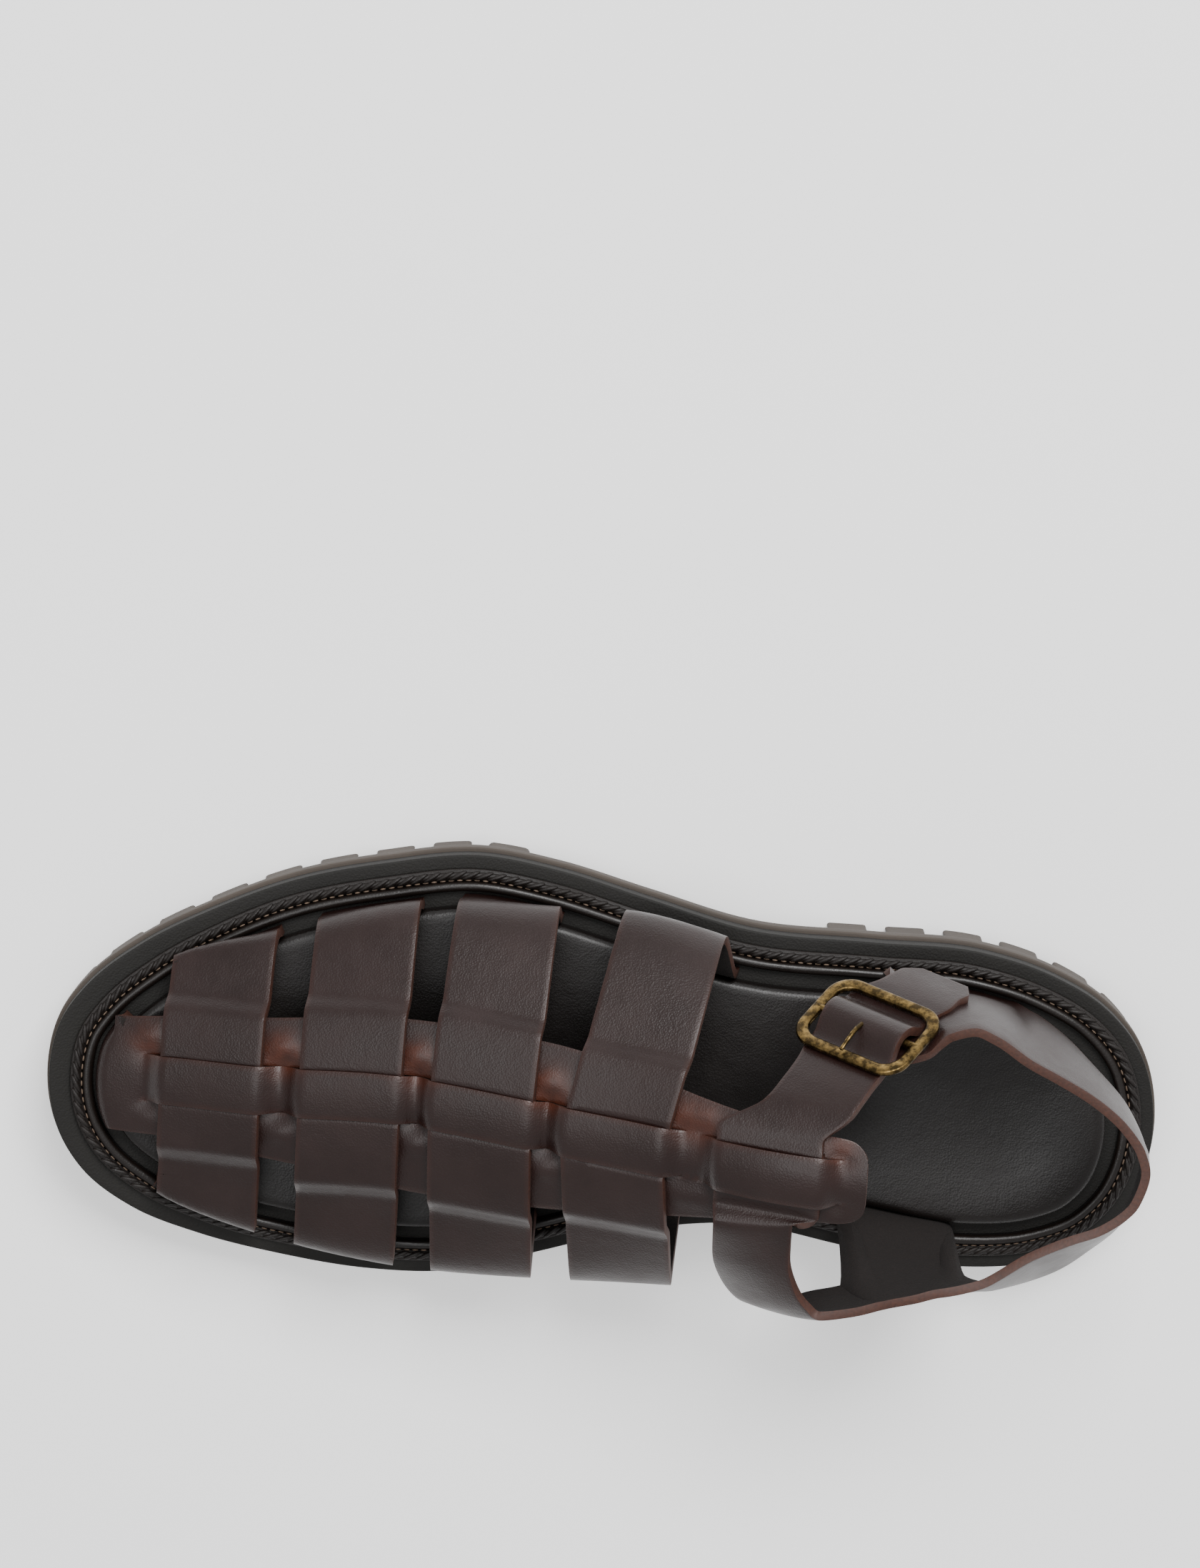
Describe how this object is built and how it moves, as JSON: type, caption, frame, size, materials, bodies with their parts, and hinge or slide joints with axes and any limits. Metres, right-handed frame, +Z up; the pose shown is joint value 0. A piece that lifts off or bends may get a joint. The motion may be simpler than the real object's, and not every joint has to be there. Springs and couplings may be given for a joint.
{
  "type": "fisherman sandal",
  "caption": "Flat leather fisherman sandal: straps woven through a centre strap, an open heel band with a side buckle, and a lugged rubber sole.",
  "frame": {"origin": "on the floor, under the middle of the sole", "axes": "+X from heel to toe, +Y to the medial side, +Z up; the buckle is on the -Y (lateral) side"},
  "size_m": [0.3, 0.1182, 0.0855],
  "materials": {
    "grey_rubber": "matt",
    "black_rubber": "grainy, matt",
    "welt_leather": "waxed",
    "rand_leather": "smooth, low sheen",
    "insole_leather": "smooth, low sheen",
    "strap_leather": "polished box leather",
    "brass": "antique"
  },
  "bodies": {
    "root": {"outsole": "grey_rubber", "midsole": "black_rubber", "welt": "welt_leather", "rand": "rand_leather", "insole": "insole_leather", "upper": "strap_leather", "buckle_frame": "brass", "buckle_prong": "brass"}
  },
  "joints": []
}
